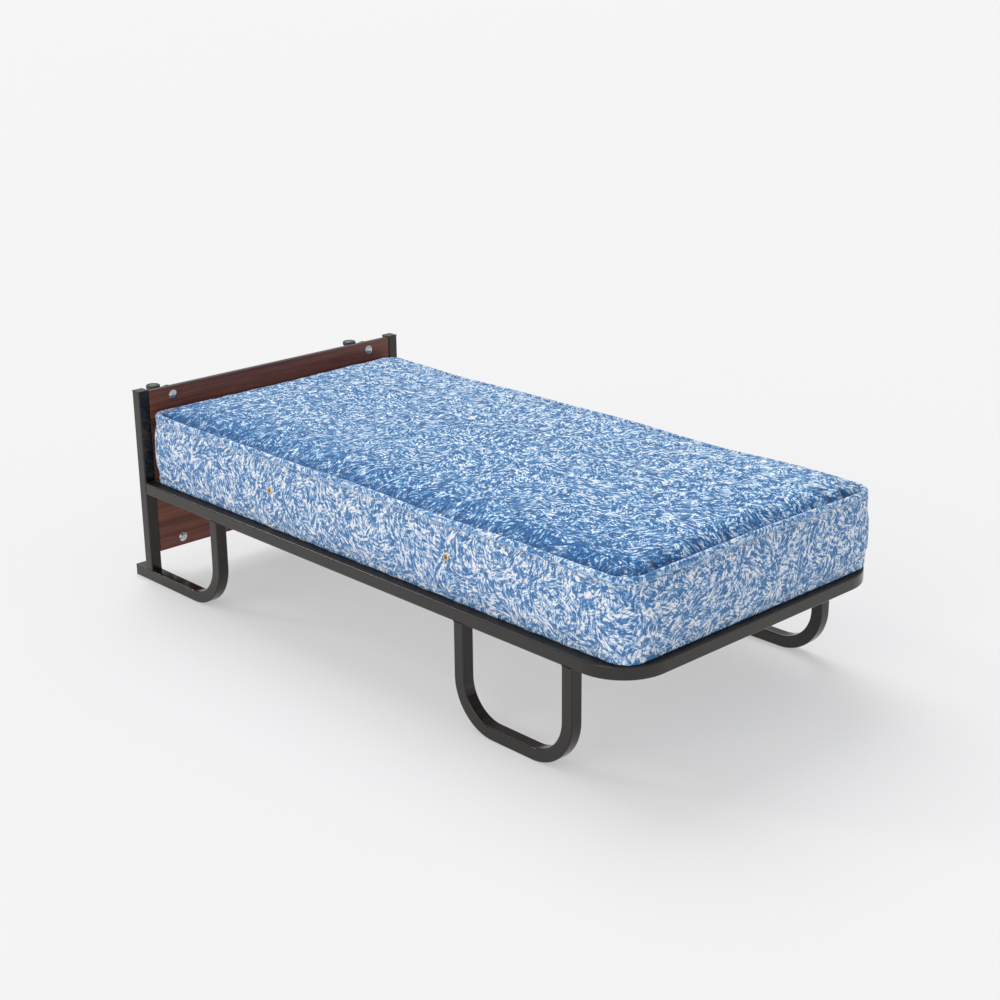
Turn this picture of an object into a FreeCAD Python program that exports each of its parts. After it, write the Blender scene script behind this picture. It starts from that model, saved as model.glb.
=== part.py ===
import FreeCAD, Part
import math
import os

import Sketcher

# An upright-storing rollaway bed. Row frame: +Z up, the head end at +Y, the foot end at -Y,
# origin under the middle of the bed on the floor. All sizes are in millimetres.

doc = FreeCAD.newDocument("rollaway_bed")

DIMENSIONS = {
    "frame_width": 990,
    "frame_length": 1930,
    "tube": 35,
    "tube_wall": 1.6,
    "tube_corner": 4,
    "rail_top": 314,
    "post_top": 592,
    "cap_height": 3,
    "cap_round": 2.4,
    "rail_bend": 115.5,
    "loop_bend": 117.5,
    "skid_bend": 119.5,
    "skid_stub": 87,
    "skid_front": 357,
    "leg_rear": 1395,
    "leg_front": 1766,
    "panel_recess": 1.5,
    "panel_thick": 16,
    "panel_bottom": 89,
    "panel_top": 591,
    "panel_gap": 0.5,
    "panel_edge": 1,
    "bar_height": 34,
    "bar_corner": 3,
    "bolt_inset": 119,
    "bolt_low": 115,
    "bolt_high": 564,
    "bolt_clearance": 0.25,
    "cross_tube": 25,
    "cross_setback": 35,
    "slat_width": 53,
    "slat_thick": 8,
    "slat_rise": 8,
    "slat_half_length": 445,
    "slat_pitch": 126,
    "slat_first": 125,
    "holder_length": 34,
    "holder_width": 62,
    "holder_height": 17,
    "holder_pocket": 22,
    "holder_floor": 2.8,
    "holder_slack": 0.6,
    "cut_margin": 1,
    "mattress_side_gap": 27,
    "mattress_head_gap": 9,
    "mattress_foot_gap": 17,
    "mattress_lift": 0.4,
    "mattress_height": 222,
    "mattress_corner": 60,
    "mattress_edge": 14,
    "cover_thick": 2.5,
    "pad_thick": 12,
    "pad_inset": 38,
    "pad_base_lift": 6,
    "pad_top_drop": 20,
    "pocket_radius": 42,
    "pocket_pitch": 122,
    "pocket_skin": 1.2,
    "vent_radius": 11,
    "vent_hole": 5,
    "vent_thick": 1.6,
    "vent_bevel": 1.5,
    "vent_height": 431,
    "vent_near_head": 602,
    "vent_near_foot": 1320,
    "castor_height": 63,
    "castor_trail": 20,
    "wheel_radius": 21,
    "wheel_width": 13,
    "wheel_inner": 7,
    "tread_bevel": 3,
    "rim_gap": 1.5,
    "axle_radius": 3,
    "race_radius": 23,
    "race_thick": 4,
    "race_bevel": 1,
    "sleeve_radius": 6,
    "sleeve_top": 13,
    "yoke_gap": 0.4,
    "yoke_disc": 4.6,
    "yoke_bevel": 2,
    "yoke_boss": 2.5,
    "web_half": 11,
    "web_rise": 10,
    "web_gap": 2,
    "bolt_radius": 4,
    "bolt_head_radius": 14.5,
    "bolt_head_height": 6,
    "bolt_end": 19.5,
    "washer_radius": 8,
    "washer_thick": 1.2,
    "nut_radius": 7.5,
    "nut_height": 4,
    "thread_gap": 0.02,
    "hub_recess": 2.5,
    "hub_radius": 13,
    "hub_bevel": 3,
    "hub_dome": 1,
    "running_gap": 0.05,
}
SLATS = 14
POCKET_COLUMNS = 7
POCKET_ROWS = 15
SIDES = {"left": -1, "right": 1}
LEVELS = {"upper": "dims.bolt_high", "lower": "dims.bolt_low"}
X_AXIS = FreeCAD.Vector(1, 0, 0)
Z_AXIS = FreeCAD.Vector(0, 0, 1)
TOUCHING = 0.01
UPRIGHT = FreeCAD.Rotation()
# a castor's own frame: its x points along its trail, towards the bed's -X side, and its z rearwards
CASTOR_TURN = FreeCAD.Rotation(FreeCAD.Matrix(-1, 0, 0, 0, 0, 0, 1, 0, 0, 1, 0, 0, 0, 0, 0, 1))

sheet = doc.addObject("Spreadsheet::Sheet", "dims")
for row, (alias, size) in enumerate(DIMENSIONS.items(), start=1):
    sheet.set(f"A{row}", alias)
    sheet.set(f"B{row}", str(size))
    sheet.setAlias(f"B{row}", alias)
doc.recompute()

# places worked out from the driving dimensions
HEAD = "((dims.frame_length - dims.tube - dims.castor_height) / 2)"
FOOT = f"({HEAD} - dims.frame_length)"
TUBE_X = "((dims.frame_width - dims.tube) / 2)"
INNER_X = "(dims.frame_width / 2 - dims.tube)"
RAIL_MID = "(dims.rail_top - dims.tube / 2)"
RAIL_UNDER = "(dims.rail_top - dims.tube)"
HALF_TUBE = "(dims.tube / 2)"
BACK = f"({HEAD} + dims.tube)"
BAR_FRONT = f"({HEAD} + dims.panel_recess + dims.panel_thick)"
BOLT_X = "(dims.frame_width / 2 - dims.bolt_inset)"
SLAT_LOW = "(dims.rail_top - dims.mattress_lift - dims.slat_thick - dims.slat_rise)"
MATTRESS_X = "(dims.frame_width / 2 - dims.mattress_side_gap)"
MATTRESS_HEAD = f"({HEAD} - dims.mattress_head_gap)"
MATTRESS_FOOT = f"({FOOT} + dims.mattress_foot_gap)"
MATTRESS_LOW = "(dims.rail_top + dims.mattress_lift)"
MATTRESS_TOP = f"({MATTRESS_LOW} + dims.mattress_height)"
AXLE_Z = "(dims.castor_height - dims.wheel_radius)"

sub_parts = []


def value(expression):
    """The number that an expression gives."""
    result = sheet.evalExpression(str(expression))
    return float(getattr(result, "Value", result))


def place(thing, x="0", y="0", z="0", turn=UPRIGHT):
    """Binds a thing's position to expressions."""
    thing.Placement = FreeCAD.Placement(FreeCAD.Vector(value(x), value(y), value(z)), turn)
    for axis, expression in zip("xyz", (x, y, z)):
        thing.setExpression(f".Placement.Base.{axis}", str(expression))


def keep(thing, name):
    """Names a finished sub-part: its label is also its file's name."""
    thing.Label = name
    sub_parts.append(thing)
    return thing


def new_sketch(body, role, offset=("0", "0", "0")):
    """A sketch parallel to one of the body's origin planes."""
    sketch = body.newObject("Sketcher::SketchObject", "sketch")
    plane = next(feature for feature in body.Origin.OriginFeatures if feature.Role == role)
    sketch.AttachmentSupport = [(plane, "")]
    sketch.MapMode = "FlatFace"
    for axis, expression in zip("xyz", offset):
        sketch.setExpression(f".AttachmentOffset.Base.{axis}", str(expression))
    return sketch


def constrain(sketch, kind, expression, *where):
    """Adds a dimension and binds it to an expression."""
    index = sketch.addConstraint(Sketcher.Constraint(kind, *where, value(expression)))
    sketch.setExpression(f"Constraints[{index}]", str(expression))


def pin_point(sketch, geometry, position, x, y):
    """Holds a point of a sketch at x, y from its origin."""
    for kind, axis, expression in (("DistanceX", -2, x), ("DistanceY", -1, y)):
        if abs(value(expression)) < 1e-9:
            on_axis = Sketcher.Constraint("PointOnObject", geometry, position, axis)
            sketch.addConstraint(on_axis)
        else:
            constrain(sketch, kind, expression, -1, 1, geometry, position)


def polygon(sketch, points):
    """A closed outline with straight sides, each corner held by expressions."""
    flat = [FreeCAD.Vector(value(x), value(y), 0) for x, y in points]
    lines = [
        sketch.addGeometry(Part.LineSegment(flat[i], flat[(i + 1) % len(flat)]), False)
        for i in range(len(flat))
    ]
    for i, line in enumerate(lines):
        following = lines[(i + 1) % len(lines)]
        sketch.addConstraint(Sketcher.Constraint("Coincident", line, 2, following, 1))
        pin_point(sketch, line, 1, *points[i])


def circle(sketch, x, y, radius):
    centre = FreeCAD.Vector(value(x), value(y), 0)
    index = sketch.addGeometry(Part.Circle(centre, Z_AXIS, value(radius)), False)
    pin_point(sketch, index, 3, x, y)
    constrain(sketch, "Radius", radius, index)


def bent_line(sketch, corners, radius, closed=False):
    """Straight runs along the sketch's axes, joined by tangent arcs of one radius."""
    bend = value(radius)
    flat = [FreeCAD.Vector(value(x), value(y), 0) for x, y in corners]
    count = len(flat)
    runs = count if closed else count - 1
    along = [(flat[(i + 1) % count] - flat[i]).normalize() for i in range(runs)]
    lines = []
    for i in range(runs):
        start = flat[i] + along[i] * (bend if closed or i else 0)
        end = flat[(i + 1) % count] - along[i] * (bend if closed or i < runs - 1 else 0)
        lines.append(sketch.addGeometry(Part.LineSegment(start, end), False))
    for i in range(runs if closed else runs - 1):
        corner = (i + 1) % count
        after = (i + 1) % runs
        turn = along[after] - along[i]
        centre = flat[corner] + turn * bend
        start = flat[corner] - along[i] * bend - centre
        end = flat[corner] + along[after] * bend - centre
        left_turn = along[i].cross(along[after]).z > 0
        first, last = (start, end) if left_turn else (end, start)
        angles = (math.atan2(first.y, first.x), math.atan2(last.y, last.x))
        arc = Part.ArcOfCircle(Part.Circle(centre, Z_AXIS, bend), *angles)
        index = sketch.addGeometry(arc, False)
        near, far = (1, 2) if left_turn else (2, 1)
        sketch.addConstraint(Sketcher.Constraint("Tangent", lines[i], 2, index, near))
        sketch.addConstraint(Sketcher.Constraint("Tangent", lines[after], 1, index, far))
        x, y = corners[corner]
        middle = (f"({x}) + ({turn.x:g}) * ({radius})", f"({y}) + ({turn.y:g}) * ({radius})")
        pin_point(sketch, index, 3, *middle)
        constrain(sketch, "Radius", radius, index)
    if not closed:
        pin_point(sketch, lines[0], 1, *corners[0])
        pin_point(sketch, lines[-1], 2, *corners[-1])


def rectangle_corners(half_width, half_height, x="0", y="0"):
    return [
        (f"({x}) + ({sx}) * ({half_width})", f"({y}) + ({sy}) * ({half_height})")
        for sx, sy in ((-1, -1), (1, -1), (1, 1), (-1, 1))
    ]


def hollow_section(sketch, half_width, half_height, corner="dims.tube_corner"):
    """The section of a rectangular steel tube: an outer and an inner rounded rectangle."""
    bent_line(sketch, rectangle_corners(half_width, half_height), corner, closed=True)
    inner = [f"({half}) - dims.tube_wall" for half in (half_width, half_height)]
    inner_corner = f"({corner}) - dims.tube_wall"
    bent_line(sketch, rectangle_corners(*inner), inner_corner, closed=True)


def new_body(name):
    return doc.addObject("PartDesign::Body", name)


def pad(body, sketch, length, backwards=False, both_ways=False):
    feature = body.newObject("PartDesign::Pad", "pad")
    feature.Profile = sketch
    feature.setExpression("Length", str(length))
    feature.Reversed = backwards
    feature.Midplane = both_ways
    doc.recompute()
    return feature


def pocket_through(body, sketch):
    """Cuts a sketch right through the body, and stops if that cut nothing."""
    before = body.Shape.Volume
    feature = body.newObject("PartDesign::Pocket", "pocket")
    feature.Profile = sketch
    feature.Type = "ThroughAll"
    feature.Midplane = True
    doc.recompute()
    if body.Shape.Volume >= before:
        raise RuntimeError(f"the pocket in {body.Name} cuts nothing")


def turned(name, outline):
    """A round solid: an outline in the XZ plane, turned about the body's Z axis."""
    body = new_body(name)
    sketch = new_sketch(body, "XZ_Plane")
    polygon(sketch, outline)
    feature = body.newObject("PartDesign::Revolution", "revolution")
    feature.Profile = sketch
    feature.ReferenceAxis = (sketch, ["V_Axis"])
    feature.Angle = 360
    doc.recompute()
    return body


def bent_tube(name, path_role, path_offset, corners, bend, section_role, section_offset):
    """A square steel tube swept along straight runs and bends."""
    body = new_body(name)
    path = new_sketch(body, path_role, path_offset)
    bent_line(path, corners, bend)
    section = new_sketch(body, section_role, section_offset)
    hollow_section(section, HALF_TUBE, HALF_TUBE)
    doc.recompute()
    pipe = body.newObject("PartDesign::AdditivePipe", "pipe")
    pipe.Profile = section
    pipe.Spine = (path, [f"Edge{i + 1}" for i in range(len(path.Shape.Edges))])
    doc.recompute()
    return keep(body, name)


def straight_tube(name, role, offset, half_width, half_height, length, corner, both_ways=False):
    body = new_body(name)
    section = new_sketch(body, role, offset)
    hollow_section(section, half_width, half_height, corner)
    pad(body, section, length, both_ways=both_ways)
    return body


def group(name, members):
    """Separate solids that share one node."""
    compound = doc.addObject("Part::Compound", name)
    compound.Links = members
    doc.recompute()
    return keep(compound, name)


def box(x_size, y_size, z_size, x, y, z, name="box"):
    """A block whose lowest corner is at x, y, z."""
    block = doc.addObject("Part::Box", name)
    for side, size in (("Length", x_size), ("Width", y_size), ("Height", z_size)):
        block.setExpression(side, str(size))
    place(block, x, y, z)
    return block


def cut(base, tool, name="cut"):
    result = doc.addObject("Part::Cut", name)
    result.Base = base
    result.Tool = tool
    return result


def fillet_edges(base, radius, wanted, name):
    """Rounds the edges of a box-like shape that wanted picks."""
    doc.recompute()
    size = value(radius)
    chosen = [(i + 1, size, size) for i, edge in enumerate(base.Shape.Edges) if wanted(edge)]
    rounded = doc.addObject("Part::Fillet", name)
    rounded.Base = base
    rounded.Edges = chosen
    doc.recompute()
    return rounded


# ---------------------------------------------------------------- the welded steel frame

def make_main_rail():
    """One tube bent to a U: down one side, round the foot and back up the other side."""
    corners = [
        (f"-{TUBE_X}", HEAD),
        (f"-{TUBE_X}", f"{FOOT} + {HALF_TUBE}"),
        (TUBE_X, f"{FOOT} + {HALF_TUBE}"),
        (TUBE_X, HEAD),
    ]
    bent_tube("main_rail", "XY_Plane", ("0", "0", RAIL_MID), corners, "dims.rail_bend",
              "XZ_Plane", (f"-{TUBE_X}", RAIL_MID, f"-{HEAD}"))


def make_posts():
    for side, sign in SIDES.items():
        offset = (f"{sign} * {TUBE_X}", f"{HEAD} + {HALF_TUBE}", "dims.tube")
        post = straight_tube(f"post_{side}", "XY_Plane", offset, HALF_TUBE, HALF_TUBE,
                             "dims.post_top - dims.tube", "dims.tube_corner")
        keep(post, f"post_{side}")


def make_head_skids():
    """Each runs forwards along the floor under its post, then bends up to the rail."""
    upright = f"{HEAD} - dims.skid_front + {HALF_TUBE}"
    stub_end = f"{BACK} - dims.tube + dims.skid_stub"
    for side, sign in SIDES.items():
        x = f"{sign} * {TUBE_X}"
        corners = [(stub_end, HALF_TUBE), (upright, HALF_TUBE), (upright, RAIL_UNDER)]
        bent_tube(f"head_skid_{side}", "YZ_Plane", ("0", "0", x), corners, "dims.skid_bend",
                  "XZ_Plane", (x, HALF_TUBE, f"-({stub_end})"))


def make_foot_legs():
    """Each is a loop under the side rail: down, along the floor and up again."""
    rear = f"{HEAD} - dims.leg_rear + {HALF_TUBE}"
    front = f"{HEAD} - dims.leg_front + {HALF_TUBE}"
    for side, sign in SIDES.items():
        x = f"{sign} * {TUBE_X}"
        corners = [(rear, RAIL_UNDER), (rear, HALF_TUBE), (front, HALF_TUBE), (front, RAIL_UNDER)]
        bent_tube(f"foot_leg_{side}", "YZ_Plane", ("0", "0", x), corners, "dims.loop_bend",
                  "XY_Plane", (x, rear, RAIL_UNDER))


def bolt_circles(sketch, level):
    for sign in SIDES.values():
        circle(sketch, f"{sign} * {BOLT_X}", level, "dims.bolt_radius + dims.bolt_clearance")


def make_panel_bars():
    """Flat tubes between the posts, behind the panel, which the castors bolt to."""
    depth = f"({BACK} - {BAR_FRONT})"
    for level, height in LEVELS.items():
        offset = (f"{BAR_FRONT} + {depth} / 2", height, "0")
        bar = straight_tube(f"{level}_panel_bar", "YZ_Plane", offset, f"{depth} / 2",
                            "dims.bar_height / 2", f"2 * {INNER_X}", "dims.bar_corner",
                            both_ways=True)
        holes = new_sketch(bar, "XZ_Plane", ("0", "0", f"-({BAR_FRONT} + {depth} / 2)"))
        bolt_circles(holes, height)
        pocket_through(bar, holes)
        keep(bar, f"{level}_panel_bar")


def make_head_cross_rail():
    half = "dims.cross_tube / 2"
    offset = (f"{HEAD} - dims.cross_setback - {half}", f"dims.rail_top - {half}", "0")
    rail = straight_tube("head_cross_rail", "YZ_Plane", offset, half, half, f"2 * {INNER_X}",
                         "dims.bar_corner", both_ways=True)
    keep(rail, "head_cross_rail")


def make_tube_caps():
    """Plastic caps: one on each post, and one on each skid's rear end."""
    post_caps = []
    skid_caps = []
    for side, sign in SIDES.items():
        x = f"{sign} * {TUBE_X} - {HALF_TUBE}"
        top = box("dims.tube", "dims.tube", "dims.cap_height", x, HEAD, "dims.post_top")
        end = box("dims.tube", "dims.cap_height", "dims.tube", x, f"{HEAD} + dims.skid_stub", "0")
        doc.recompute()
        outer_z = top.Shape.BoundBox.ZMax
        outer_y = end.Shape.BoundBox.YMax
        post_caps.append(fillet_edges(top, "dims.cap_round",
                                      lambda e, z=outer_z: e.BoundBox.ZMin > z - TOUCHING, "post_cap"))
        skid_caps.append(fillet_edges(end, "dims.cap_round",
                                      lambda e, y=outer_y: e.BoundBox.YMin > y - TOUCHING, "skid_cap"))
    group("post_caps", post_caps)
    group("skid_end_caps", skid_caps)


# ---------------------------------------------------------------- headboard panel

def make_headboard_panel():
    """A laminated board between the posts, bored for the four castor bolts."""
    body = new_body("headboard_panel")
    front = f"-({HEAD} + dims.panel_recess)"
    sketch = new_sketch(body, "XZ_Plane", ("0", "0", front))
    half_width = f"{INNER_X} - dims.panel_gap"
    polygon(sketch, [
        (f"-({half_width})", "dims.panel_bottom"),
        (half_width, "dims.panel_bottom"),
        (half_width, "dims.panel_top"),
        (f"-({half_width})", "dims.panel_top"),
    ])
    board = pad(body, sketch, "dims.panel_thick", backwards=True)
    edges = [
        f"Edge{i + 1}" for i, edge in enumerate(board.Shape.Edges)
        if edge.BoundBox.YLength < TOUCHING
    ]
    rounding = body.newObject("PartDesign::Fillet", "fillet")
    rounding.Base = (board, edges)
    rounding.setExpression("Radius", "dims.panel_edge")
    doc.recompute()
    holes = new_sketch(body, "XZ_Plane", ("0", "0", front))
    for level in LEVELS.values():
        bolt_circles(holes, level)
    pocket_through(body, holes)
    keep(body, "headboard_panel")


# ---------------------------------------------------------------- slatted deck

def slat_middle(index):
    return f"({HEAD} - dims.slat_first - {index} * dims.slat_pitch)"


def make_slat(index):
    """A bowed strip of laminated wood: two arcs about one centre, closed by its ends."""
    name = f"slat_{index + 1:02d}"
    body = new_body(name)
    sketch = new_sketch(body, "XZ_Plane", ("0", SLAT_LOW, f"-{slat_middle(index)}"))
    length = "dims.slat_half_length"
    radius = f"(({length} ^ 2 + dims.slat_rise ^ 2) / (2 * dims.slat_rise))"
    centre_y = f"(dims.slat_rise - {radius})"
    centre = FreeCAD.Vector(0, value(centre_y), 0)
    ends = {}
    arcs = {}
    for layer, size in (("low", radius), ("high", f"({radius} + dims.slat_thick)")):
        lift = math.sqrt(value(size) ** 2 - value(length) ** 2)
        angle = math.atan2(lift, value(length))
        curve = Part.ArcOfCircle(Part.Circle(centre, Z_AXIS, value(size)), angle, math.pi - angle)
        arcs[layer] = sketch.addGeometry(curve, False)
        ends[layer] = (curve.StartPoint, curve.EndPoint)
        pin_point(sketch, arcs[layer], 3, "0", centre_y)
        constrain(sketch, "Radius", size, arcs[layer])
    for position, x in ((1, length), (2, f"-{length}")):
        line = Part.LineSegment(ends["low"][position - 1], ends["high"][position - 1])
        edge = sketch.addGeometry(line, False)
        sketch.addConstraint(Sketcher.Constraint("Coincident", edge, 1, arcs["low"], position))
        sketch.addConstraint(Sketcher.Constraint("Coincident", edge, 2, arcs["high"], position))
        sketch.addConstraint(Sketcher.Constraint("Vertical", edge))
        constrain(sketch, "DistanceX", x, -1, 1, edge, 1)
    pad(body, sketch, "dims.slat_width", both_ways=True)
    keep(body, name)


def make_slat_holders():
    """Moulded pockets on the inner faces of the side rails, one for each slat's end."""
    hollow_low = f"{SLAT_LOW} - dims.holder_slack"
    low = f"({hollow_low} - dims.holder_floor)"
    for side, sign in SIDES.items():
        holders = []
        for index in range(SLATS):
            middle = slat_middle(index)
            x = f"-{INNER_X}" if sign < 0 else f"{INNER_X} - dims.holder_length"
            block = box("dims.holder_length", "dims.holder_width", "dims.holder_height",
                        x, f"{middle} - dims.holder_width / 2", low)
            mouth = (f"-{INNER_X} + dims.holder_length - dims.holder_pocket" if sign < 0
                     else f"{INNER_X} - dims.holder_length - dims.cut_margin")
            hollow = box("dims.holder_pocket + dims.cut_margin", "dims.slat_width + 2 * dims.holder_slack",
                         "dims.slat_thick + 4 * dims.holder_slack", mouth,
                         f"{middle} - dims.slat_width / 2 - dims.holder_slack", hollow_low)
            holders.append(cut(block, hollow, "slat_holder"))
        group(f"slat_holders_{side}", holders)


# ---------------------------------------------------------------- mattress

def mattress_block(name, inset, low, high, edge_round):
    """A slab with rounded upright corners, inset from the mattress's outer faces."""
    body = new_body(name)
    sketch = new_sketch(body, "XY_Plane", ("0", "0", low))
    side = f"({MATTRESS_X} - {inset})"
    head = f"({MATTRESS_HEAD} - {inset})"
    foot = f"({MATTRESS_FOOT} + {inset})"
    corners = [(f"-{side}", foot), (side, foot), (side, head), (f"-{side}", head)]
    bent_line(sketch, corners, f"(dims.mattress_corner - {inset})", closed=True)
    slab = pad(body, sketch, f"({high}) - ({low})")
    if edge_round:
        edges = [
            f"Edge{i + 1}" for i, edge in enumerate(slab.Shape.Edges)
            if edge.BoundBox.ZLength < TOUCHING
        ]
        rounding = body.newObject("PartDesign::Fillet", "fillet")
        rounding.Base = (slab, edges)
        rounding.setExpression("Radius", edge_round)
        doc.recompute()
    return body


def make_mattress():
    """A sewn cover round two pads, with pocketed springs between them."""
    skin = "dims.cover_thick"
    outer = mattress_block("cover_outside", "0", MATTRESS_LOW, MATTRESS_TOP, "dims.mattress_edge")
    inner = mattress_block("cover_inside", skin, f"{MATTRESS_LOW} + {skin}",
                           f"{MATTRESS_TOP} - {skin}", f"dims.mattress_edge - {skin}")
    cover = cut(outer, inner, "mattress_cover")
    doc.recompute()
    keep(cover, "mattress_cover")
    base_low = f"({MATTRESS_LOW} + dims.pad_base_lift)"
    base_high = f"({base_low} + dims.pad_thick)"
    top_high = f"({MATTRESS_TOP} - dims.pad_top_drop)"
    top_low = f"({top_high} - dims.pad_thick)"
    for name, low, high in (("base", base_low, base_high), ("top", top_low, top_high)):
        pad_name = f"mattress_{name}_pad"
        keep(mattress_block(pad_name, "dims.pad_inset", low, high, ""), pad_name)
    make_spring_pockets(f"({base_high} + dims.running_gap)", f"({top_low} - dims.running_gap)")


def make_spring_pockets(low, high):
    """Closed fabric sleeves in rows, each of which holds a coil spring."""
    skin = "dims.pocket_skin"
    radius = "dims.pocket_radius"
    middle = f"(({MATTRESS_HEAD} + {MATTRESS_FOOT}) / 2)"
    pockets = []
    for column in range(POCKET_COLUMNS):
        for row in range(POCKET_ROWS):
            x = f"{column - (POCKET_COLUMNS - 1) / 2} * dims.pocket_pitch"
            y = f"{middle} + {row - (POCKET_ROWS - 1) / 2} * dims.pocket_pitch"
            outside = doc.addObject("Part::Cylinder", "pocket_outside")
            outside.setExpression("Radius", radius)
            outside.setExpression("Height", f"{high} - {low}")
            place(outside, x, y, low)
            inside = doc.addObject("Part::Cylinder", "pocket_inside")
            inside.setExpression("Radius", f"{radius} - {skin}")
            inside.setExpression("Height", f"{high} - {low} - 2 * {skin}")
            place(inside, x, y, f"{low} + {skin}")
            pockets.append(cut(outside, inside, "spring_pocket"))
    group("mattress_spring_pockets", pockets)


def make_vents():
    """Brass eyelets in the mattress's long sides, which let the air out."""
    vents = []
    for sign in SIDES.values():
        for distance in ("dims.vent_near_head", "dims.vent_near_foot"):
            vent = turned("vent", [
                ("dims.vent_hole", "0"),
                ("dims.vent_radius", "0"),
                ("dims.vent_radius - dims.vent_bevel", "dims.vent_thick"),
                ("dims.vent_hole + dims.vent_bevel", "dims.vent_thick"),
            ])
            turn = FreeCAD.Rotation(Z_AXIS, X_AXIS * sign)
            place(vent, f"{sign} * {MATTRESS_X}", f"{HEAD} - {distance}", "dims.vent_height", turn)
            vents.append(vent)
    group("mattress_vents", vents)


# ---------------------------------------------------------------- castors

def castor_body(name, outline, x, level):
    body = turned(name, outline)
    place(body, x, BACK, level, CASTOR_TURN)
    return body


def castor_places():
    for level, height in LEVELS.items():
        for side, sign in SIDES.items():
            yield f"{level}_{side}", f"{sign} * {BOLT_X}", height


def make_bolt(x, level):
    """A dome-headed bolt: a slice of a ball on a round shank."""
    head = f"({HEAD} + dims.panel_recess - {BACK})"
    ball = "((dims.bolt_head_radius ^ 2 / dims.bolt_head_height + dims.bolt_head_height) / 2)"
    flat = f"({ball} - dims.bolt_head_height)"
    dome = doc.addObject("Part::Sphere", "bolt_dome")
    dome.setExpression("Radius", ball)
    dome.Angle1 = -90
    dome.setExpression("Angle2", f"-asin({flat} / {ball})")
    place(dome, z=f"{head} + {flat}")
    shank = doc.addObject("Part::Cylinder", "bolt_shank")
    shank.setExpression("Radius", "dims.bolt_radius")
    shank.setExpression("Height", f"dims.bolt_end - {head}")
    place(shank, z=head)
    bolt = doc.addObject("Part::Fuse", "bolt")
    bolt.Base = dome
    bolt.Tool = shank
    place(bolt, x, BACK, level, CASTOR_TURN)
    return bolt


def make_castor_fasteners():
    """Domed bolts through panel, bar and castor, each held by a washer and a thin nut."""
    bolts = []
    washers = []
    nuts = []
    washer_top = "(dims.sleeve_top + dims.washer_thick)"
    washer_bore = "(dims.bolt_radius + dims.bolt_clearance)"
    for _, x, height in castor_places():
        bolts.append(make_bolt(x, height))
        washers.append(castor_body("washer", [
            (washer_bore, "dims.sleeve_top"),
            ("dims.washer_radius", "dims.sleeve_top"),
            ("dims.washer_radius", washer_top),
            (washer_bore, washer_top),
        ], x, height))
        hexagon = doc.addObject("Part::Prism", "nut_block")
        hexagon.Polygon = 6
        hexagon.setExpression("Circumradius", "dims.nut_radius")
        hexagon.setExpression("Height", "dims.nut_height")
        bore = doc.addObject("Part::Cylinder", "nut_bore")
        bore.setExpression("Radius", "dims.bolt_radius + dims.thread_gap")
        bore.setExpression("Height", "dims.nut_height")
        nut = cut(hexagon, bore, "nut")
        place(nut, x, f"{BACK} + {washer_top}", height, CASTOR_TURN)
        nuts.append(nut)
    group("castor_bolts", bolts)
    group("castor_washers", washers)
    group("castor_nuts", nuts)


def make_castor_race(name, x, height):
    """The fixed half: a disc against the bar, with the sleeve that the castor swivels on."""
    bore = "(dims.bolt_radius + dims.bolt_clearance)"
    race = castor_body(name, [
        (bore, "0"),
        ("dims.race_radius", "0"),
        ("dims.race_radius", "dims.race_thick - dims.race_bevel"),
        ("dims.race_radius - dims.race_bevel", "dims.race_thick"),
        ("dims.sleeve_radius", "dims.race_thick"),
        ("dims.sleeve_radius", "dims.sleeve_top"),
        (bore, "dims.sleeve_top"),
    ], x, height)
    keep(race, name)


def make_castor_yoke(name, x, height):
    """The swivelling half: a dished disc and boss, with one web that carries the axle."""
    bore = "(dims.sleeve_radius + dims.running_gap)"
    disc_low = "(dims.race_thick + dims.yoke_gap)"
    disc_high = f"({disc_low} + dims.yoke_disc)"
    disc_radius = "(dims.race_radius - dims.race_bevel)"
    boss_radius = "(dims.sleeve_radius + dims.yoke_boss)"
    boss_top = "(dims.sleeve_top - dims.yoke_gap)"
    body = turned(name, [
        (bore, disc_low),
        (disc_radius, disc_low),
        (disc_radius, f"{disc_high} - dims.yoke_bevel"),
        (f"{disc_radius} - 2 * dims.yoke_bevel", disc_high),
        (boss_radius, disc_high),
        (boss_radius, boss_top),
        (bore, boss_top),
    ])
    web = new_sketch(body, "XZ_Plane")
    web_low = f"{disc_high} - dims.yoke_bevel / 2"
    near = "(dims.castor_trail - dims.web_half)"
    far = "(dims.castor_trail + dims.web_half)"
    shoulder = f"{AXLE_Z} + dims.axle_radius"
    polygon(web, [
        (near, web_low),
        (f"{disc_radius} - 2 * dims.yoke_bevel", web_low),
        (far, f"{AXLE_Z} - 2 * dims.axle_radius"),
        (far, shoulder),
        ("dims.castor_trail + dims.web_half / 2", f"{AXLE_Z} + dims.web_rise"),
        ("dims.castor_trail - dims.web_half / 2", f"{AXLE_Z} + dims.web_rise"),
        (near, shoulder),
    ])
    pad(body, web, "2 * (dims.wheel_inner - dims.web_gap)", both_ways=True)
    bore_sketch = new_sketch(body, "XZ_Plane")
    circle(bore_sketch, "dims.castor_trail", AXLE_Z, "dims.axle_radius + dims.running_gap")
    pocket_through(body, bore_sketch)
    place(body, x, BACK, height, CASTOR_TURN)
    keep(body, name)


def on_axle(name, outline, x, height, side):
    """A round solid about the axle: its outline's heights are measured from the axle's middle."""
    body = turned(name, outline)
    turn = FreeCAD.Rotation(Z_AXIS, Z_AXIS * side) if side > 0 else FreeCAD.Rotation(X_AXIS, 180)
    place(body, f"{x} - dims.castor_trail", f"{BACK} + {AXLE_Z}", height, turn)
    return body


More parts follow.
